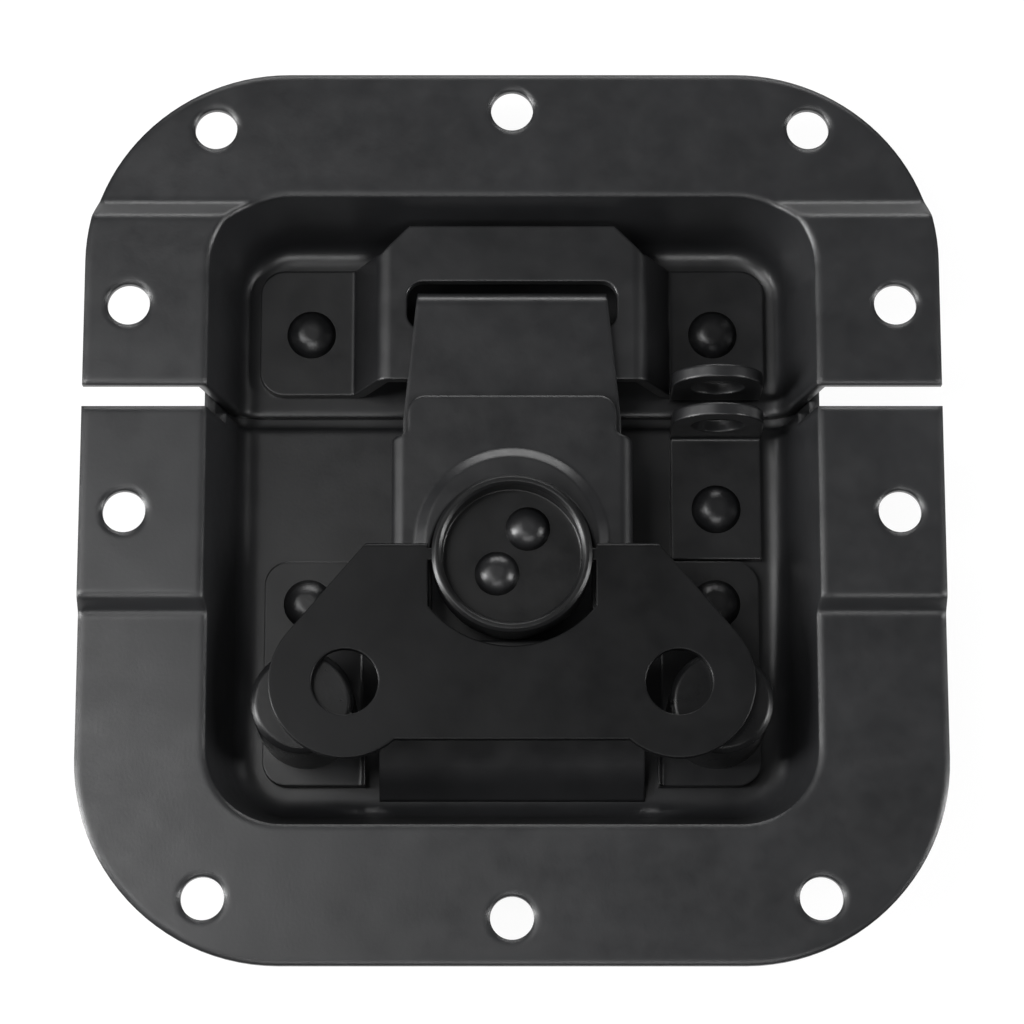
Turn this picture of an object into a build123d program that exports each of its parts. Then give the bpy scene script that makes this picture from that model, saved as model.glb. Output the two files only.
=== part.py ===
from build123d import *
import math
import os

os.makedirs("parts", exist_ok=True)

# A recessed butterfly latch for cases, all in millimetres. X runs across, Y runs up the latch
# towards the keeper, and Z stands out of the case. The origin is at the middle of the outline,
# level with the lowest metal, which is the rivet tails and the joggled tongue under the dish.

# Dish sheet and heights
dish_sheet = 1.2
tongue_gap = 0.2
recess_depth = 14.0
joggle_rise = 2.0
rivet_tail = dish_sheet + tongue_gap
floor_under = rivet_tail
floor_top = floor_under + dish_sheet
flange_top = floor_top + recess_depth
raised_top = flange_top + joggle_rise

# Outline of the two halves
half_width = 52.0
half_height = 55.0
corner_radius = 24.5
split_corner_radius = 0.8
lower_edge = 12.2
split_gap = 2.7
upper_edge = lower_edge + split_gap
upper_joggle_start = 36.2
upper_joggle_run = 2.4
lower_joggle_start = 11.2
lower_joggle_run = 1.6
joggle_bend = 1.0

# Recess, measured at its floor, with its walls leaning outward
floor_half_width = 33.7
floor_north = 36.5
floor_south = 35.5
wall_draft = 11.6
floor_corner_radius = 6.5
floor_bend = 2.5

# Tongue of the lower half, stepped down to run under the upper half
tongue_web = 1.2
tongue_reach = 5.0
tongue_height = 7.5

# Screw holes in the flange
screw_radius = 2.6
side_hole_inset = 5.4
upper_side_hole_step = 10.1
lower_side_hole_step = 13.0
corner_hole_inset = 15.5
upper_corner_hole_inset = 7.0
lower_corner_hole_inset = 7.9
upper_centre_hole_inset = 4.6
lower_centre_hole_inset = 5.6
upper_side_hole = (half_width - side_hole_inset, upper_edge + upper_side_hole_step)
lower_side_hole = (half_width - side_hole_inset, lower_edge - lower_side_hole_step)
upper_corner_hole = (half_width - corner_hole_inset, half_height - upper_corner_hole_inset)
lower_corner_hole = (half_width - corner_hole_inset, half_height - lower_corner_hole_inset)
upper_centre_hole = half_height - upper_centre_hole_inset
lower_centre_hole = half_height - lower_centre_hole_inset

# Inner sheet parts
plate_sheet = 1.5
bend_inside = 0.5
bend_outside = bend_inside + plate_sheet
pad_top = floor_top + plate_sheet
pad_corner_radius = 3.0

# Keeper plate, one bent sheet with a raised frame
keeper_south = 17.3
keeper_pad_north = 33.4
keeper_north = 36.9
keeper_pad_gap = 2.2
keeper_pad_reach = floor_half_width - keeper_pad_gap
keeper_rise = 8.0
keeper_top = pad_top + keeper_rise
frame_half_width = 16.5
riser_run = 2.7
frame_chamfer = 3.8
aperture_half_width = 12.95
aperture_north = 29.8
aperture_south = 23.6
aperture_radius = 2.0

# Padlock ears
ear_width = 11.2
ear_inset = 6.2
ear_x = keeper_pad_reach - ear_inset
ear_hole_radius = 3.25
ear_height = 13.5
ear_top = floor_top + ear_height
ear_centre_z = ear_top - ear_width / 2
keeper_ear_south = 16.6
bracket_ear_north = 13.3
bracket_south = -3.6

# Rivets through the floor of the dish
rivet_head_radius = 3.05
rivet_head_height = 1.7
rivet_shank_radius = 1.6
rivet_tail_radius = 2.5
rivet_hole_clearance = 0.05
keeper_rivet_inset = 6.4
keeper_rivet = (keeper_pad_reach - keeper_rivet_inset, 25.1)
bracket_rivet_y = 2.7

# Base plate, two pads with a raised platform between them and a ramp at its south end
base_pad_gap = 3.2
base_pad_reach = floor_half_width - base_pad_gap
base_rivet_inset = 5.4
base_rivet = (base_pad_reach - base_rivet_inset, -9.3)
base_north = -3.9
base_south = -31.9
platform_half_width = 16.2
platform_run = 1.7
platform_rise = 4.5
platform_top = pad_top + platform_rise
platform_tab_half_width = 11.0
platform_tab_north = 4.0
ramp_foot = -33.7
ramp_angle = 35.0

# Wing rests, studs under the two lobes of the wing
rest_radius = 6.2
rest_inset = 5.5
rest_place = (base_pad_reach - rest_inset, -23.6)
rest_edge = 0.6
rest_clearance = 0.3

# Hook, a nose plate under a cover
drum_y = -6.0
hook_sheet = 1.3
cover_sheet = 1.2
hook_clearance = 0.25
hook_under = keeper_top + hook_clearance
hook_top = hook_under + hook_sheet
cover_top = hook_top + cover_sheet
nose_north = 28.2
nose_half_width = 11.6
nose_wide_y = 11.7
nose_bend = 1.9
lip_length = 2.3
lip_lean = 65.0
hook_tail = 17.2
hook_south = drum_y - hook_tail
cover_front = 14.5
cover_front_radius = 2.1
cover_neck_half_width = 12.7
cover_half_width = 14.65
hook_side_gap = 0.15
nose_wide_half_width = cover_half_width - cover_sheet - hook_side_gap
cover_flare_start = 10.4
cover_flare_end = 8.6
cover_tail = 18.0
cover_south = drum_y - cover_tail
cover_edge_drop = 2.7
cover_edge_bend = 1.5
cover_slot_reach = 5.3
dome_half_width = 11.7
dome_shift = 2.2
dome_rise = 0.7
dome_slope = 1.2

# Drum, a round cup that carries the wing, on an eccentric spindle
drum_radius = 9.65
drum_wall = 1.25
drum_clearance = 0.35
drum_sink = 0.5
drum_bottom = cover_top - drum_sink
drum_floor = 1.9
drum_height = 4.95
drum_top = drum_bottom + drum_height
drum_rim_chamfer = 0.4
cam_radius = 7.4
cam_throw = 1.5
cam_side_clearance = 0.75
cam_thickness = 3.4
hub_radius = 6.0
hub_clearance = 0.3
spindle_radius = 4.0
running_clearance = 0.08
washer_radius = 6.5
washer_thickness = 1.0
spindle_end = 0.8
spindle_upset = 0.6
drum_rivet_radius = 2.7
drum_rivet_height = 1.5
drum_rivet_shank = 0.9
drum_rivet_depth = 3.2
drum_rivet_rear = (1.9, 3.5)
drum_rivet_front = (-1.8, -2.0)

# Wing, hinged in the wall of the drum on two tabs, measured from the drum's axis
wing_sheet = 1.3
wing_drop = 1.0
wing_top = drum_top - wing_drop
wing_under = wing_top - wing_sheet
wing_axis_z = wing_top - wing_sheet / 2
wing_root = 1.4
wing_root_half_width = 17.5
wing_root_round = 0.5
wing_gap = 0.43
wing_slot_half_width = drum_radius + wing_gap
wing_slot_straight = 6.3
wing_slot_depth = 11.2
lobe_radius = 9.1
lobe_place = (19.9, -15.5)
finger_radius = 4.0
wing_south = -22.4
tab_width = 1.4
tab_hole_clearance = 0.08
tab_reach = 0.1

# Lift spring, a leaf on the platform's tab that pushes the hook up
leaf_sheet = 0.5
leaf_half_width = 4.0
leaf_foot_gap = 0.6
leaf_tip = 13.0
leaf_clearance = 0.3


def recess_form(grow):
    """The solid form of the recess, with its floor and walls grown outward by grow."""
    foot_grow = grow - grow * math.tan(math.radians(wall_draft))
    wide = 2 * (floor_half_width + foot_grow)
    tall = floor_north + floor_south + 2 * foot_grow
    foot = floor_top - grow
    with BuildPart() as form:
        with BuildSketch(Plane.XY.offset(foot)):
            with Locations((0, (floor_north - floor_south) / 2)):
                RectangleRounded(wide, tall, floor_corner_radius + foot_grow)
        extrude(amount=raised_top + 4 - foot, taper=-wall_draft)
        fillet(form.edges().group_by(Axis.Z)[0], floor_bend + grow)
    return form.part


def flange_profile(thickness, edge, bend_at, bend_run, side):
    """The flange's section along Y: raised beside the split, then stepped down."""
    top = [
        (edge, raised_top),
        (side * bend_at, raised_top),
        (side * (bend_at + bend_run), flange_top),
        (side * half_height, flange_top),
    ]
    return top + [(y, z - thickness) for y, z in reversed(top)]


def dish_half(edge, bend_at, bend_run, side, holes, rivets):
    """One half of the dish: a joggled flange with its share of the recess pressed into it."""
    bends = (bend_at, bend_at + bend_run)
    with BuildPart() as pressed:
        with BuildSketch(Plane.YZ):
            with BuildLine():
                Polyline(*flange_profile(raised_top, edge, bend_at, bend_run, side), close=True)
            make_face()
        extrude(amount=half_width, both=True)
        add(recess_form(dish_sheet), mode=Mode.INTERSECT)
    with BuildPart() as half:
        with BuildSketch(Plane.YZ):
            with BuildLine():
                Polyline(*flange_profile(dish_sheet, edge, bend_at, bend_run, side), close=True)
            make_face()
        extrude(amount=half_width, both=True)
        across = half.edges().filter_by(Axis.X)
        fillet([e for e in across if min(abs(abs(e.center().Y) - y) for y in bends) < 0.01], joggle_bend)
        with BuildSketch(Plane.XY):
            with Locations((0, (edge + side * half_height) / 2)):
                Rectangle(2 * half_width, abs(side * half_height - edge))
            far = [v for v in vertices() if abs(v.Y) > half_height - 1]
            near = [v for v in vertices() if abs(v.Y) < half_height - 1]
            fillet(far, corner_radius)
            fillet(near, split_corner_radius)
        extrude(amount=raised_top, mode=Mode.INTERSECT)
        add(pressed.part)
        add(recess_form(0), mode=Mode.SUBTRACT)
        with BuildSketch(Plane.XY):
            with Locations(*holes):
                Circle(screw_radius)
            with Locations(*rivets):
                Circle(rivet_shank_radius + rivet_hole_clearance)
        extrude(amount=raised_top + 1, mode=Mode.SUBTRACT)
    return half.part


def screw_holes(corner, side_hole, centre, side):
    """Screw hole places of one half, mirrored across X."""
    places = [(0, side * centre)]
    for x in (-1, 1):
        places.append((x * corner[0], side * corner[1]))
        places.append((x * side_hole[0], side_hole[1]))
    return places


def both_sides(place):
    """A place and its mirror image across X."""
    return [(-place[0], place[1]), place]


def padlock_ear(face, inward, reach):
    """An ear bent up from a strip: its outer face at Y face, its strip running inward to Y reach."""
    inner = face + inward * plate_sheet
    with BuildPart() as ear:
        with BuildSketch(Plane.YZ.offset(ear_x - ear_width / 2)):
            with BuildLine():
                Polyline(
                    (face, floor_top),
                    (reach, floor_top),
                    (reach, pad_top),
                    (inner, pad_top),
                    (inner, ear_top),
                    (face, ear_top),
                    close=True,
                )
            make_face()
        extrude(amount=ear_width)
        lengthways = ear.edges().filter_by(Axis.X)
        heel = lengthways.sort_by_distance((ear_x, face, floor_top))[0]
        crease = lengthways.sort_by_distance((ear_x, inner, pad_top))[0]
        fillet(heel, bend_outside)
        fillet(ear.edges().filter_by(Axis.X).sort_by_distance(crease.center())[0], bend_inside)
        with BuildSketch(Plane.XZ):
            with Locations((ear_x, (floor_top + ear_centre_z) / 2)):
                Rectangle(ear_width, ear_centre_z - floor_top)
            with Locations((ear_x, ear_centre_z)):
                Circle(ear_width / 2)
        extrude(amount=half_height, both=True, mode=Mode.INTERSECT)
        with BuildSketch(Plane.XZ.offset(-max(face, inner))):
            with Locations((ear_x, ear_centre_z)):
                Circle(ear_hole_radius)
        extrude(amount=plate_sheet, mode=Mode.SUBTRACT)
    return ear.part


def dome_bands(radius, height, base):
    """Points up the side of a rivet's domed head, from its rim to its flat top."""
    sphere = (radius**2 + height**2) / (2 * height)
    turn = math.asin(min(1, radius / sphere))
    points = []
    for share in (1, 0.72, 0.4):
        drop = sphere * (1 - math.cos(turn * share))
        points.append((sphere * math.sin(turn * share), base + height - drop))
    return points + [(0, points[-1][1])]


def floor_rivet(place):
    """A domed rivet through a pad and the floor of the dish."""
    with BuildPart() as rivet:
        with BuildSketch(Plane.XZ):
            with BuildLine():
                Polyline(
                    (0, 0),
                    (rivet_tail_radius, 0),
                    (rivet_tail_radius, floor_under),
                    (rivet_shank_radius, floor_under),
                    (rivet_shank_radius, pad_top),
                    *dome_bands(rivet_head_radius, rivet_head_height, pad_top),
                    close=True,
                )
            make_face()
        revolve(axis=Axis.Z)
    return Pos(*place, 0) * rivet.part


# Dish halves, with the lower one stepped down to a tongue under the upper one
upper_holes = screw_holes(upper_corner_hole, upper_side_hole, upper_centre_hole, 1)
lower_holes = screw_holes(lower_corner_hole, lower_side_hole, lower_centre_hole, -1)
bracket_rivet = (ear_x, bracket_rivet_y)

with BuildPart() as upper_dish:
    rivet_places = both_sides(keeper_rivet)
    add(dish_half(upper_edge, upper_joggle_start, upper_joggle_run, 1, upper_holes, rivet_places))
upper_dish.part.label = "upper_dish"
export_step(upper_dish.part, "parts/upper_dish.step")

tongue_offset = dish_sheet + tongue_gap
web_end = lower_edge + tongue_web
tongue_end = web_end + tongue_reach

with BuildPart() as tongue:
    with BuildSketch(Plane.XY):
        with Locations((0, (web_end + tongue_end) / 2 - tongue_web / 2)):
            Rectangle(2 * half_width, tongue_end - lower_edge)
    extrude(amount=floor_top + tongue_height)
    add(recess_form(tongue_offset + dish_sheet), mode=Mode.INTERSECT)
    add(recess_form(tongue_offset), mode=Mode.SUBTRACT)

with BuildPart() as web:
    with BuildSketch(Plane.XY):
        with Locations((0, (lower_edge + web_end) / 2)):
            Rectangle(2 * half_width, tongue_web)
    extrude(amount=floor_top + tongue_height)
    add(recess_form(tongue_offset + dish_sheet), mode=Mode.INTERSECT)
    add(recess_form(0), mode=Mode.SUBTRACT)

with BuildPart() as lower_dish:
    rivet_places = both_sides(base_rivet) + both_sides(rest_place) + [bracket_rivet]
    add(dish_half(lower_edge, lower_joggle_start, lower_joggle_run, -1, lower_holes, rivet_places))
    add(tongue.part)
    add(web.part)
lower_dish.part.label = "lower_dish"
export_step(lower_dish.part, "parts/lower_dish.step")

# Keeper plate: a hat section along Y, cut to its outline, with one ear bent up
frame_foot = frame_half_width + riser_run
keeper_ear = padlock_ear(keeper_ear_south, 1, keeper_south + 2 * plate_sheet)
with BuildPart() as keeper_hat:
    with BuildSketch(Plane.XZ.offset(-keeper_north)):
        with BuildLine() as half_line:
            Polyline(
                (-keeper_pad_reach, floor_top + plate_sheet / 2),
                (-frame_foot, floor_top + plate_sheet / 2),
                (-frame_half_width + plate_sheet / 2, keeper_top - plate_sheet / 2),
                (frame_half_width - plate_sheet / 2, keeper_top - plate_sheet / 2),
                (frame_foot, floor_top + plate_sheet / 2),
                (keeper_pad_reach, floor_top + plate_sheet / 2),
            )
            fillet(half_line.vertices().sort_by(Axis.X)[1:-1], bend_inside + plate_sheet / 2)
            offset(amount=plate_sheet / 2, kind=Kind.TANGENT)
        make_face()
    extrude(amount=keeper_north - keeper_south)
    with BuildSketch(Plane.XY):
        with Locations((0, (keeper_south + keeper_pad_north) / 2)):
            RectangleRounded(2 * keeper_pad_reach, keeper_pad_north - keeper_south, pad_corner_radius)
        with BuildLine():
            Polyline(
                (-frame_half_width, keeper_south),
                (-frame_half_width, keeper_north - frame_chamfer),
                (-frame_half_width + frame_chamfer, keeper_north),
                (frame_half_width - frame_chamfer, keeper_north),
                (frame_half_width, keeper_north - frame_chamfer),
                (frame_half_width, keeper_south),
                close=True,
            )
        make_face()
    extrude(amount=keeper_top, mode=Mode.INTERSECT)

keeper_blank = keeper_hat.part + keeper_ear
with BuildPart() as keeper_plate:
    add(keeper_blank)
    with BuildSketch(Plane.XY.offset(keeper_top)):
        with Locations((0, (aperture_south + aperture_north) / 2)):
            RectangleRounded(2 * aperture_half_width, aperture_north - aperture_south, aperture_radius)
    extrude(amount=-plate_sheet, mode=Mode.SUBTRACT)
    with BuildSketch(Plane.XY):
        with Locations(*both_sides(keeper_rivet)):
            Circle(rivet_shank_radius + rivet_hole_clearance)
    extrude(amount=pad_top, mode=Mode.SUBTRACT)
keeper_plate.part.label = "keeper_plate"
export_step(keeper_plate.part, "parts/keeper_plate.step")

# Base plate: the same kind of hat section, with a bored platform, a north tab and a south ramp
platform_foot = platform_half_width + platform_run
ramp_rise = platform_top - floor_top
ramp_top = ramp_foot + ramp_rise / math.tan(math.radians(ramp_angle))
ramp_depth = plate_sheet / math.cos(math.radians(ramp_angle))
with BuildPart() as ramp:
    with BuildSketch(Plane.YZ):
        with BuildLine():
            Polyline(
                (ramp_foot, floor_top),
                (ramp_foot + ramp_depth / math.tan(math.radians(ramp_angle)), floor_top),
                (ramp_top, platform_top - ramp_depth),
                (ramp_top + plate_sheet, platform_top - ramp_depth),
                (ramp_top + plate_sheet, platform_top),
                (ramp_top, platform_top),
                close=True,
            )
        make_face()
    extrude(amount=platform_half_width, both=True)
    add(recess_form(-rivet_hole_clearance), mode=Mode.INTERSECT)

with BuildPart() as base_plate:
    with BuildSketch(Plane.XZ.offset(-base_north)):
        with BuildLine() as half_line:
            Polyline(
                (-base_pad_reach, floor_top + plate_sheet / 2),
                (-platform_foot, floor_top + plate_sheet / 2),
                (-platform_half_width + plate_sheet / 2, platform_top - plate_sheet / 2),
                (platform_half_width - plate_sheet / 2, platform_top - plate_sheet / 2),
                (platform_foot, floor_top + plate_sheet / 2),
                (base_pad_reach, floor_top + plate_sheet / 2),
            )
            fillet(half_line.vertices().sort_by(Axis.X)[1:-1], bend_inside + plate_sheet / 2)
            offset(amount=plate_sheet / 2, kind=Kind.TANGENT)
        make_face()
    extrude(amount=base_north - base_south)
    with BuildSketch(Plane.XY):
        with Locations((0, (base_south + base_north) / 2)):
            RectangleRounded(2 * base_pad_reach, base_north - base_south, pad_corner_radius)
        with Locations((0, (base_south + ramp_top) / 2)):
            Rectangle(2 * platform_foot, ramp_top - base_south, mode=Mode.SUBTRACT)
    extrude(amount=platform_top, mode=Mode.INTERSECT)
    add(ramp.part)
    with BuildSketch(Plane.XY.offset(platform_top - plate_sheet)):
        with Locations((0, (base_north + platform_tab_north) / 2 - plate_sheet / 2)):
            Rectangle(2 * platform_tab_half_width, platform_tab_north - base_north + plate_sheet)
    extrude(amount=plate_sheet)
    with BuildSketch(Plane.XY.offset(platform_top - plate_sheet)):
        with Locations((0, drum_y)):
            Circle(spindle_radius + running_clearance)
    extrude(amount=plate_sheet, mode=Mode.SUBTRACT)
    with BuildSketch(Plane.XY):
        with Locations(*both_sides(base_rivet), *both_sides(rest_place)):
            Circle(rivet_shank_radius + rivet_hole_clearance)
    extrude(amount=pad_top, mode=Mode.SUBTRACT)
base_plate.part.label = "base_plate"
export_step(base_plate.part, "parts/base_plate.step")

# Padlock bracket beside the hook, its ear facing the keeper's
bracket_strip = padlock_ear(bracket_ear_north, -1, bracket_south)
with BuildPart() as padlock_bracket:
    add(bracket_strip)
    with BuildSketch(Plane.XY):
        with Locations(bracket_rivet):
            Circle(rivet_shank_radius + rivet_hole_clearance)
    extrude(amount=pad_top, mode=Mode.SUBTRACT)
padlock_bracket.part.label = "padlock_bracket"
export_step(padlock_bracket.part, "parts/padlock_bracket.step")

# Rivets
rivet_nodes = [("bracket_rivet", bracket_rivet)]
for name, place in (("keeper_rivet", keeper_rivet), ("base_rivet", base_rivet)):
    left, right = both_sides(place)
    rivet_nodes.append((name + "_left", left))
    rivet_nodes.append((name + "_right", right))
for name, place in rivet_nodes:
    rivet = floor_rivet(place)
    rivet.label = name
    export_step(rivet, "parts/" + name + ".step")

# Wing rests: round studs, riveted through the pads
rest_top = wing_under - rest_clearance
with BuildPart() as wing_rest:
    with BuildSketch(Plane.XZ):
        with BuildLine():
            Polyline(
                (0, 0),
                (rivet_tail_radius, 0),
                (rivet_tail_radius, floor_under),
                (rivet_shank_radius, floor_under),
                (rivet_shank_radius, pad_top),
                (rest_radius, pad_top),
                (rest_radius, rest_top - rest_edge),
                (rest_radius - rest_edge, rest_top),
                (0, rest_top),
                close=True,
            )
        make_face()
    revolve(axis=Axis.Z)
for name, place in zip(("wing_rest_left", "wing_rest_right"), both_sides(rest_place)):
    rest = Pos(*place, 0) * wing_rest.part
    rest.label = name
    export_step(rest, "parts/" + name + ".step")

# Lift spring: foot on the tab in front of the hub, leaf rising under the hook plate
leaf_foot = drum_y + hub_radius + leaf_foot_gap
leaf_top = hook_under - leaf_clearance
with BuildPart() as lift_spring:
    with BuildSketch(Plane.YZ):
        with BuildLine():
            Polyline(
                (leaf_foot, platform_top),
                (platform_tab_north, platform_top),
                (leaf_tip, leaf_top - leaf_sheet),
                (leaf_tip, leaf_top),
                (platform_tab_north, platform_top + leaf_sheet),
                (leaf_foot, platform_top + leaf_sheet),
                close=True,
            )
        make_face()
    extrude(amount=leaf_half_width, both=True)
lift_spring.part.label = "lift_spring"
export_step(lift_spring.part, "parts/lift_spring.step")

# Hook plate: a tapered nose bent down and back to catch the keeper, with an eye for the cam
lean = math.radians(lip_lean)
bend_y = nose_north - nose_bend
bend_z = hook_top - nose_bend
inner_bend = nose_bend - hook_sheet
outer_foot = (bend_y + nose_bend * math.cos(lean), bend_z - nose_bend * math.sin(lean))
inner_foot = (bend_y + inner_bend * math.cos(lean), bend_z - inner_bend * math.sin(lean))
lip_step = (-lip_length * math.sin(lean), -lip_length * math.cos(lean))
outer_tip = (outer_foot[0] + lip_step[0], outer_foot[1] + lip_step[1])
inner_tip = (inner_foot[0] + lip_step[0], inner_foot[1] + lip_step[1])
mid_turn = math.radians(45 - lip_lean / 2)
eye_half_width = cam_radius + cam_throw + cam_side_clearance
eye_north = drum_y + cam_radius - cam_throw + cam_side_clearance
eye_south = drum_y - cam_radius - cam_throw - cam_side_clearance
eye_radius = cam_radius / 2
with BuildPart() as hook_plate:
    with BuildSketch(Plane.YZ):
        with BuildLine():
            Line((hook_south, hook_top), (bend_y, hook_top))
            ThreePointArc(
                (bend_y, hook_top),
                (bend_y + nose_bend * math.cos(mid_turn), bend_z + nose_bend * math.sin(mid_turn)),
                outer_foot,
            )
            Polyline(outer_foot, outer_tip, inner_tip, inner_foot)
            ThreePointArc(
                inner_foot,
                (bend_y + inner_bend * math.cos(mid_turn), bend_z + inner_bend * math.sin(mid_turn)),
                (bend_y, hook_under),
            )
            Polyline((bend_y, hook_under), (hook_south, hook_under), (hook_south, hook_top))
        make_face()
    extrude(amount=nose_wide_half_width, both=True)
    with BuildSketch(Plane.XY):
        with BuildLine():
            Polyline(
                (-nose_half_width, nose_north),
                (nose_half_width, nose_north),
                (nose_wide_half_width, nose_wide_y),
                (nose_wide_half_width, hook_south),
                (-nose_wide_half_width, hook_south),
                (-nose_wide_half_width, nose_wide_y),
                close=True,
            )
        make_face()
    extrude(amount=hook_top, mode=Mode.INTERSECT)
    with BuildSketch(Plane.XY.offset(hook_under)):
        with Locations((0, (eye_north + eye_south) / 2)):
            RectangleRounded(2 * eye_half_width, eye_north - eye_south, eye_radius)
    extrude(amount=hook_sheet, mode=Mode.SUBTRACT)
hook_plate.part.label = "hook_plate"
export_step(hook_plate.part, "parts/hook_plate.step")

# Hook cover: a sheet with turned-down sides, a raised ring round the drum and a slot for it
slot_radius = drum_radius + drum_clearance
dome_y = drum_y + dome_shift
with BuildPart() as hook_cover:
    with BuildSketch(Plane.XZ.offset(-cover_front)):
        with BuildLine() as cover_line:
            Polyline(
                (-cover_half_width, cover_top - cover_edge_drop),
                (-cover_half_width, cover_top),
                (cover_half_width, cover_top),
                (cover_half_width, cover_top - cover_edge_drop),
                (cover_half_width - cover_sheet, cover_top - cover_edge_drop),
                (cover_half_width - cover_sheet, cover_top - cover_sheet),
                (-cover_half_width + cover_sheet, cover_top - cover_sheet),
                (-cover_half_width + cover_sheet, cover_top - cover_edge_drop),
                close=True,
            )
            fillet(cover_line.vertices().group_by(Axis.Y)[-1], cover_edge_bend)
        make_face()
    extrude(amount=cover_front - cover_south)
    with BuildSketch(Plane.XY):
        with BuildLine():
            for side in (-1, 1):
                neck = side * cover_neck_half_width
                wide = side * cover_half_width
                Line((0, cover_front), (neck - side * cover_front_radius, cover_front))
                RadiusArc(
                    (neck - side * cover_front_radius, cover_front),
                    (neck, cover_front - cover_front_radius),
                    side * cover_front_radius,
                )
                Line((neck, cover_front - cover_front_radius), (neck, cover_flare_start))
                Spline(
                    (neck, cover_flare_start),
                    (wide, cover_flare_end),
                    tangents=((0, -1), (0, -1)),
                )
                Polyline((wide, cover_flare_end), (wide, cover_south), (0, cover_south))
        make_face()
    extrude(amount=cover_top, mode=Mode.INTERSECT)
    for height, inset in ((0, 0), (dome_rise, dome_slope)):
        with BuildSketch(Plane.XY.offset(cover_top + height)):
            with Locations((0, dome_y)):
                Circle(dome_half_width - inset)
            with Locations((0, (dome_y + cover_south) / 2)):
                Rectangle(2 * (dome_half_width - inset), dome_y - cover_south)
    loft()
    with BuildSketch(Plane.XY.offset(hook_top)):
        with Locations((0, drum_y)):
            Circle(slot_radius)
        with Locations((0, drum_y - cover_slot_reach)):
            Circle(slot_radius)
        with Locations((0, drum_y - cover_slot_reach / 2)):
            Rectangle(2 * slot_radius, cover_slot_reach)
    extrude(amount=cover_sheet + dome_rise, mode=Mode.SUBTRACT)
hook_cover.part.label = "hook_cover"
export_step(hook_cover.part, "parts/hook_cover.step")

# Drum: a round cup with two hinge holes through its wall and two rivet holes in its floor
drum_floor_top = drum_bottom + drum_floor
tab_hole_radius = math.hypot(tab_width, wing_sheet) / 2 + tab_hole_clearance
drum_rivets = [drum_rivet_rear, drum_rivet_front]
with BuildPart() as drum_cup:
    with BuildSketch(Plane.XY.offset(drum_bottom)):
        with Locations((0, drum_y)):
            Circle(drum_radius)
    extrude(amount=drum_height)
    with BuildSketch(Plane.XY.offset(drum_floor_top)):
        with Locations((0, drum_y)):
            Circle(drum_radius - drum_wall)
    extrude(amount=drum_height - drum_floor, mode=Mode.SUBTRACT)
    rims = drum_cup.edges().filter_by(GeomType.CIRCLE).group_by(Axis.Z)[-1]
    chamfer(rims, drum_rim_chamfer)
    with BuildSketch(Plane.YZ):
        with Locations((drum_y, wing_axis_z)):
            Circle(tab_hole_radius)
    extrude(amount=drum_radius, both=True, mode=Mode.SUBTRACT)
    with BuildSketch(Plane.XY.offset(drum_bottom)):
        with Locations((0, drum_y)):
            with Locations(*drum_rivets):
                Circle(drum_rivet_shank + rivet_hole_clearance)
    extrude(amount=drum_floor, mode=Mode.SUBTRACT)
drum_cup.part.label = "drum_cup"
export_step(drum_cup.part, "parts/drum_cup.step")

# Cam and spindle in one piece: an eccentric disc, a hub, and a journal upset below its washer
platform_under = platform_top - plate_sheet
hub_bottom = platform_top + hub_clearance
washer_top = platform_under - hub_clearance
washer_bottom = washer_top - washer_thickness
with BuildPart() as cam_spindle:
    with BuildSketch(Plane.XY.offset(drum_bottom - cam_thickness)):
        with Locations((0, drum_y - cam_throw)):
            Circle(cam_radius)
    extrude(amount=cam_thickness)
    with BuildSketch(Plane.XY.offset(hub_bottom)):
        with Locations((0, drum_y)):
            Circle(hub_radius)
    extrude(amount=drum_bottom - cam_thickness - hub_bottom)
    with BuildSketch(Plane.XY.offset(washer_bottom)):
        with Locations((0, drum_y)):
            Circle(spindle_radius)
    extrude(amount=hub_bottom - washer_bottom)
    with BuildSketch(Plane.XY.offset(washer_bottom - spindle_end)):
        with Locations((0, drum_y)):
            Circle(spindle_radius + spindle_upset)
    extrude(amount=spindle_end)
    with BuildSketch(Plane.XY.offset(drum_bottom)):
        with Locations((0, drum_y)):
            with Locations(*drum_rivets):
                Circle(drum_rivet_shank + rivet_hole_clearance)
    extrude(amount=drum_floor - drum_rivet_depth, mode=Mode.SUBTRACT)
cam_spindle.part.label = "cam_spindle"
export_step(cam_spindle.part, "parts/cam_spindle.step")

with BuildPart() as spindle_washer:
    with BuildSketch(Plane.XY.offset(washer_bottom)):
        with Locations((0, drum_y)):
            Circle(washer_radius)
            Circle(spindle_radius + rivet_hole_clearance, mode=Mode.SUBTRACT)
    extrude(amount=washer_thickness)
spindle_washer.part.label = "spindle_washer"
export_step(spindle_washer.part, "parts/spindle_washer.step")

# Two domed rivets that key the drum to the cam
with BuildPart() as drum_rivet:
    with BuildSketch(Plane.XZ):
        with BuildLine():
            Polyline(
                (0, -drum_rivet_depth),
                (drum_rivet_shank, -drum_rivet_depth),
                (drum_rivet_shank, 0),
                *dome_bands(drum_rivet_radius, drum_rivet_height, 0),
                close=True,
            )
        make_face()
    revolve(axis=Axis.Z)
for name, place in zip(("drum_rivet_rear", "drum_rivet_front"), drum_rivets):
    pin = Pos(place[0], drum_y + place[1], drum_floor_top) * drum_rivet.part
    pin.label = name
    export_step(pin, "parts/" + name + ".step")

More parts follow.
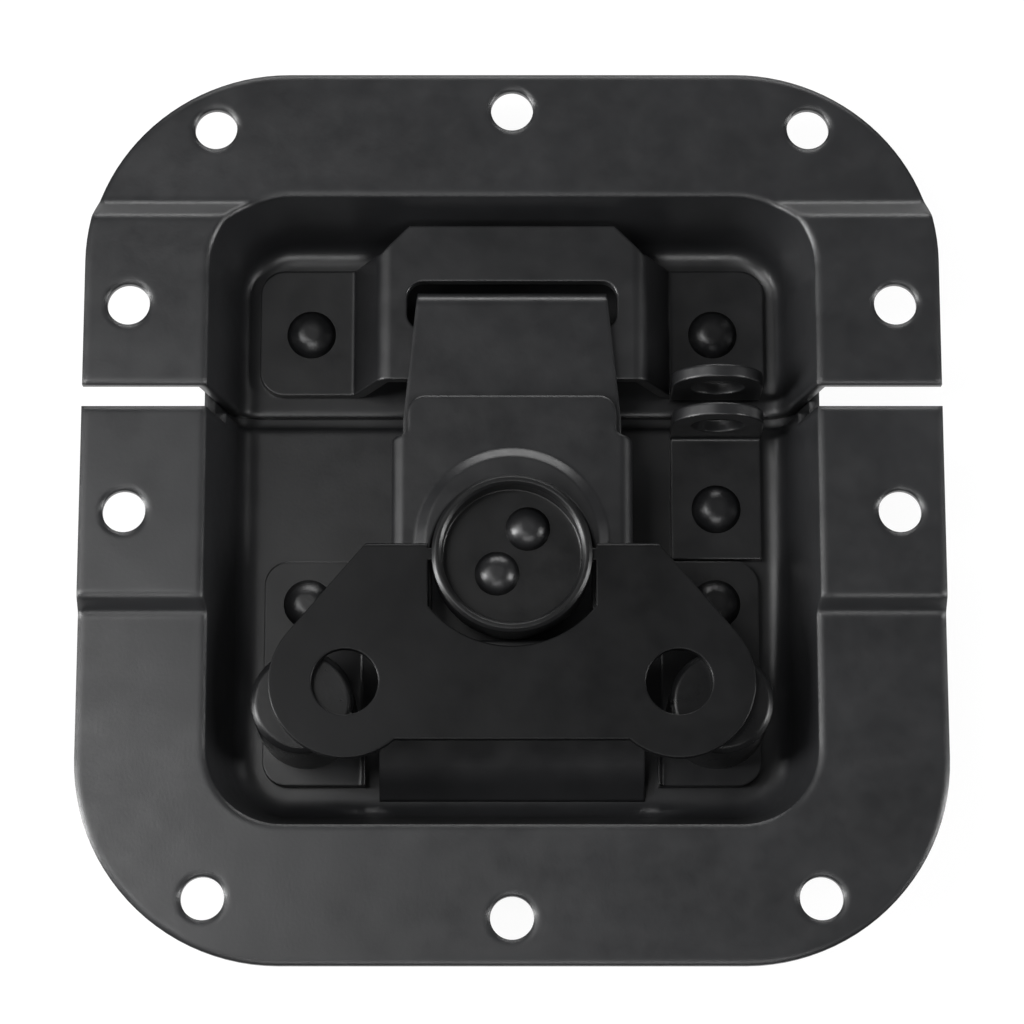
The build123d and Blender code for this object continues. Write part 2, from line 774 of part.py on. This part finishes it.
# Wing: a plate with two lobes and finger holes, slotted round the drum, with two hinge tabs
lobe_x, lobe_y = lobe_place
root_dx = lobe_x - wing_root_half_width
root_dy = lobe_y - wing_root
root_distance = math.hypot(root_dx, root_dy)
tangent_turn = math.atan2(root_dy, root_dx) + math.asin(lobe_radius / root_distance)
tangent_run = math.sqrt(root_distance**2 - lobe_radius**2)
tangent_x = wing_root_half_width + tangent_run * math.cos(tangent_turn)
tangent_y = wing_root + tangent_run * math.sin(tangent_turn)
south_x = lobe_x - math.sqrt(lobe_radius**2 - (wing_south - lobe_y) ** 2)
with BuildPart() as wing:
    with BuildSketch(Plane.XY.offset(wing_under)):
        with Locations((0, drum_y)):
            with BuildLine(mode=Mode.PRIVATE) as outline:
                Polyline(
                    (wing_root_half_width, wing_root),
                    (tangent_x, tangent_y),
                    (lobe_x, lobe_y),
                    (south_x, wing_south),
                    (-south_x, wing_south),
                    (-lobe_x, lobe_y),
                    (-tangent_x, tangent_y),
                    (-wing_root_half_width, wing_root),
                    close=True,
                )
            add(make_face(outline.line.edges(), mode=Mode.PRIVATE))
            with Locations((-lobe_x, lobe_y), (lobe_x, lobe_y)):
                Circle(lobe_radius)
                Circle(finger_radius, mode=Mode.SUBTRACT)
    extrude(amount=wing_sheet)
    fillet(wing.edges().filter_by(Axis.X).group_by(Axis.Y)[-1], wing_root_round)
    with BuildSketch(Plane.XY.offset(wing_under)):
        with BuildLine():
            slot_end = drum_y - wing_slot_straight
            Polyline(
                (-wing_slot_half_width, slot_end),
                (-wing_slot_half_width, drum_y + 2 * wing_root),
                (wing_slot_half_width, drum_y + 2 * wing_root),
                (wing_slot_half_width, slot_end),
            )
            ThreePointArc(
                (wing_slot_half_width, slot_end),
                (0, drum_y - wing_slot_depth),
                (-wing_slot_half_width, slot_end),
            )
        make_face()
    extrude(amount=wing_sheet, mode=Mode.SUBTRACT)
    tab_start = drum_radius - drum_wall - tab_reach
    tab_length = wing_slot_half_width - tab_start
    with BuildSketch(Plane.XY.offset(wing_under)):
        for side in (-1, 1):
            with Locations((side * (tab_start + tab_length / 2), drum_y)):
                Rectangle(tab_length, tab_width)
    extrude(amount=wing_sheet)
wing.part.label = "wing"
export_step(wing.part, "parts/wing.step")
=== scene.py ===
import math

import bpy
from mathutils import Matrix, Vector

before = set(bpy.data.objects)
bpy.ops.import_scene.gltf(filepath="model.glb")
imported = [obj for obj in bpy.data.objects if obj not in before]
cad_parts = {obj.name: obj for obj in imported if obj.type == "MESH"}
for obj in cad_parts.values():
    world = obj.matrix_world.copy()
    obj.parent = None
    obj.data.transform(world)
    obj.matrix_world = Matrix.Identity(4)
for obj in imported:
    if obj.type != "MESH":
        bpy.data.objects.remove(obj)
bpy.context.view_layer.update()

scene = bpy.context.scene
scene.view_settings.view_transform = "Standard"

# Corners above these angles, in degrees, keep a sharp normal
sheet_crease = 28
rivet_crease = 60

# Faces within this angle of one plane, in degrees, are joined
flat_angle = 0.4

# The bevel on the keeper plate: width in metres, steps, and the least angle in degrees that it acts on
keeper_round = 0.0003
keeper_round_steps = 3
keeper_round_angle = 40


def smooth(obj, angle):
    """Smooth shading with the piece's own corners kept sharp."""
    obj.data.shade_smooth()
    obj.data.set_sharp_from_angle(angle=math.radians(angle))


def join_flats(obj):
    """Join the faces in one plane. It leaves a few open edges on the lower dish and the two plates."""
    flat = obj.modifiers.new("join_flats", "DECIMATE")
    flat.decimate_type = "DISSOLVE"
    flat.angle_limit = math.radians(flat_angle)


def round_keeper(obj):
    """Bevel the edges whose faces share vertices, which is one spot of 0.3 mm at a pad's corner.

    The CAD's faces share no vertices at other edges, so those are softened in shading alone.
    """
    edge = obj.modifiers.new("round_edges", "BEVEL")
    edge.width = keeper_round
    edge.segments = keeper_round_steps
    edge.limit_method = "ANGLE"
    edge.angle_limit = math.radians(keeper_round_angle)
    edge.use_clamp_overlap = True
    edge.harden_normals = False


# Coated steel. Noise scales are per metre, heights are in metres
blotch_scale, blotch_detail = 70, 3
blotch_dark_at, blotch_light_at = 0.3, 0.72
blotch_dark, blotch_light = 0.82, 1.2
gloss_scale, gloss_detail, gloss_mix = 240, 4, 0.6
gloss_from, gloss_to = 0.3, 0.7
gloss_low, gloss_high = 0.86, 1.16
wave_scale, wave_detail = 55, 2
wave_strength, wave_height = 0.25, 0.0008
grain_scale, grain_detail, grain_mix = 2600, 3, 0.55
grain_strength, grain_height = 0.12, 0.00006
edge_samples = 8


def coated_steel(name, base, rough, specular, edge):
    """Coated sheet steel: blotched tone, uneven gloss, broad waves, fine grain and soft-shaded edges."""
    mat = bpy.data.materials.new(name)
    mat.use_nodes = True
    nodes = mat.node_tree.nodes
    links = mat.node_tree.links
    shader = nodes["Principled BSDF"]
    shader.inputs["Specular IOR Level"].default_value = specular
    place = nodes.new("ShaderNodeTexCoord")

    def noise(scale, detail, mix=0.5):
        tex = nodes.new("ShaderNodeTexNoise")
        tex.inputs["Scale"].default_value = scale
        tex.inputs["Detail"].default_value = detail
        tex.inputs["Roughness"].default_value = mix
        links.new(place.outputs["Object"], tex.inputs["Vector"])
        return tex.outputs["Fac"]

    def bump(height, normal, strength, distance):
        relief = nodes.new("ShaderNodeBump")
        relief.inputs["Strength"].default_value = strength
        relief.inputs["Distance"].default_value = distance
        links.new(height, relief.inputs["Height"])
        links.new(normal, relief.inputs["Normal"])
        return relief.outputs["Normal"]

    tone = nodes.new("ShaderNodeValToRGB")
    dark, light = tone.color_ramp.elements
    dark.position = blotch_dark_at
    dark.color = tuple(c * blotch_dark for c in base) + (1,)
    light.position = blotch_light_at
    light.color = tuple(c * blotch_light for c in base) + (1,)
    links.new(noise(blotch_scale, blotch_detail), tone.inputs["Fac"])
    links.new(tone.outputs["Color"], shader.inputs["Base Color"])

    gloss = nodes.new("ShaderNodeMapRange")
    gloss.inputs["From Min"].default_value = gloss_from
    gloss.inputs["From Max"].default_value = gloss_to
    gloss.inputs["To Min"].default_value = rough * gloss_low
    gloss.inputs["To Max"].default_value = rough * gloss_high
    links.new(noise(gloss_scale, gloss_detail, gloss_mix), gloss.inputs["Value"])
    links.new(gloss.outputs["Result"], shader.inputs["Roughness"])

    bevel = nodes.new("ShaderNodeBevel")
    bevel.samples = edge_samples
    bevel.inputs["Radius"].default_value = edge
    waves = bump(noise(wave_scale, wave_detail), bevel.outputs["Normal"], wave_strength, wave_height)
    grain = bump(noise(grain_scale, grain_detail, grain_mix), waves, grain_strength, grain_height)
    links.new(grain, shader.inputs["Normal"])
    return mat


dish_black = (0.0135, 0.0138, 0.0148)
plate_black = (0.011, 0.0112, 0.012)
hook_black = (0.010, 0.0102, 0.011)
rivet_black = (0.009, 0.0092, 0.010)
# Painted shade: the same black coat made darker for the wing, the drum and the rests, standing in for the
# wing's dim reflection and the shade under it
painted_shade_black = (0.004, 0.0041, 0.0044)
oiled_grey = (0.05, 0.05, 0.052)

# edge is the radius in metres over which the shading rounds an edge
finishes = {
    "dish": coated_steel("black_coat_dish", dish_black, rough=0.34, specular=0.55, edge=0.0013),
    "plate": coated_steel("black_coat_plate", plate_black, rough=0.34, specular=0.5, edge=0.0004),
    "hook": coated_steel("black_coat_hook", hook_black, rough=0.33, specular=0.5, edge=0.0006),
    # The wing, the drum and the rests: black coat darkened as painted shade
    "wing": coated_steel("black_coat_wing", painted_shade_black, rough=0.38, specular=0.2, edge=0.0003),
    "drum": coated_steel("black_coat_drum", painted_shade_black, rough=0.34, specular=0.4, edge=0.0003),
    "rivet": coated_steel("black_coat_rivet", rivet_black, rough=0.32, specular=0.6, edge=0.0013),
    "rest": coated_steel("black_coat_rest", painted_shade_black, rough=0.30, specular=0.35, edge=0.0005),
    "inner": coated_steel("dark_oiled_steel", oiled_grey, rough=0.34, specular=0.5, edge=0.00035),
}
wears = {
    "upper_dish": "dish",
    "lower_dish": "dish",
    "keeper_plate": "plate",
    "base_plate": "plate",
    "padlock_bracket": "plate",
    "hook_plate": "hook",
    "hook_cover": "hook",
    "wing": "wing",
    "drum_cup": "drum",
    "cam_spindle": "inner",
    "spindle_washer": "inner",
    "lift_spring": "inner",
    "wing_rest_left": "rest",
    "wing_rest_right": "rest",
}
joined = ("dish", "plate", "hook", "wing", "rivet")
for name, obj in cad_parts.items():
    kind = wears.get(name, "rivet")
    for slot in obj.material_slots:
        slot.material = finishes[kind]
    smooth(obj, rivet_crease if kind == "rivet" else sheet_crease)
    if kind in joined:
        join_flats(obj)
round_keeper(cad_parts["keeper_plate"])

# Floor: white to the eye, to gloss and to transmission, and still holding a faint shadow
reach = 3.0
floor_level = -0.0003
paper_tone = 0.86
glow_share = 0.86
glow_strength = 1.06
floor_mesh = bpy.data.meshes.new("floor")
floor_mesh.from_pydata(
    [(x, y, floor_level) for x, y in ((-reach, -reach), (reach, -reach), (reach, reach), (-reach, reach))],
    [],
    [(0, 1, 2, 3)],
)
floor = bpy.data.objects.new("floor", floor_mesh)
scene.collection.objects.link(floor)
paper = bpy.data.materials.new("white_paper")
paper.use_nodes = True
nodes = paper.node_tree.nodes
links = paper.node_tree.links
nodes.clear()


def paper_math(operation):
    """A math node of the paper's own."""
    node = nodes.new("ShaderNodeMath")
    node.operation = operation
    return node


seen = nodes.new("ShaderNodeLightPath")
direct = paper_math("MAXIMUM")
links.new(seen.outputs["Is Camera Ray"], direct.inputs[0])
links.new(seen.outputs["Is Glossy Ray"], direct.inputs[1])
through = paper_math("MAXIMUM")
links.new(direct.outputs[0], through.inputs[0])
links.new(seen.outputs["Is Transmission Ray"], through.inputs[1])
share = paper_math("MULTIPLY")
share.inputs[1].default_value = glow_share
links.new(through.outputs[0], share.inputs[0])
matte = nodes.new("ShaderNodeBsdfDiffuse")
matte.inputs["Color"].default_value = (paper_tone, paper_tone, paper_tone, 1)
glow = nodes.new("ShaderNodeEmission")
glow.inputs["Color"].default_value = (1, 1, 1, 1)
glow.inputs["Strength"].default_value = glow_strength
mix = nodes.new("ShaderNodeMixShader")
links.new(share.outputs[0], mix.inputs[0])
links.new(matte.outputs[0], mix.inputs[1])
links.new(glow.outputs[0], mix.inputs[2])
out = nodes.new("ShaderNodeOutputMaterial")
links.new(mix.outputs[0], out.inputs["Surface"])
floor.data.materials.append(paper)

# Plain studio light: a dim grey room and five softboxes
room_strength = 0.085
world = bpy.data.worlds.new("room")
scene.world = world
world.use_nodes = True
room = world.node_tree.nodes["Background"]
room.inputs["Color"].default_value = (1, 1, 1, 1)
room.inputs["Strength"].default_value = room_strength


def softbox(name, place, target, size, power):
    """A rectangular area lamp that looks at a point; metres and watts."""
    lamp = bpy.data.lights.new(name, "AREA")
    lamp.shape = "RECTANGLE"
    lamp.size, lamp.size_y = size
    lamp.energy = power
    obj = bpy.data.objects.new(name, lamp)
    obj.location = place
    obj.rotation_euler = (Vector(target) - Vector(place)).to_track_quat("-Z", "Y").to_euler()
    scene.collection.objects.link(obj)


# In turn: high left, low left, low right, low beyond the north side, high beyond the south side
softbox("left_box", place=(-0.27, 0.02, 0.50), target=(-0.045, 0, 0), size=(0.16, 0.36), power=1.25)
softbox("low_left_box", place=(-0.88, -0.10, 0.24), target=(0, 0, 0), size=(0.2, 0.9), power=17.0)
softbox("right_box", place=(0.88, -0.10, 0.28), target=(0, 0, 0), size=(0.2, 0.8), power=8.5)
softbox("top_box", place=(0.05, 0.92, 0.34), target=(0, 0, 0), size=(0.9, 0.2), power=5.0)
softbox("near_box", place=(0.0, -0.50, 0.72), target=(0, 0, 0), size=(0.5, 0.15), power=1.9)

# Camera: above the latch and a little south of it, as in the photograph
elevation = math.radians(77.2)
distance = 0.45
view_width = 0.124
sensor_width = 36
nearest = 0.01
centre = Vector((0, 0, 0.0145))
camera_data = bpy.data.cameras.new("camera")
camera = bpy.data.objects.new("camera", camera_data)
scene.collection.objects.link(camera)
camera.location = centre + distance * Vector((0, -math.cos(elevation), math.sin(elevation)))
camera.rotation_euler = (centre - camera.location).to_track_quat("-Z", "Y").to_euler()
camera_data.sensor_width = sensor_width
camera_data.sensor_fit = "HORIZONTAL"
camera_data.lens = sensor_width * distance / view_width
camera_data.clip_start = nearest
scene.camera = camera
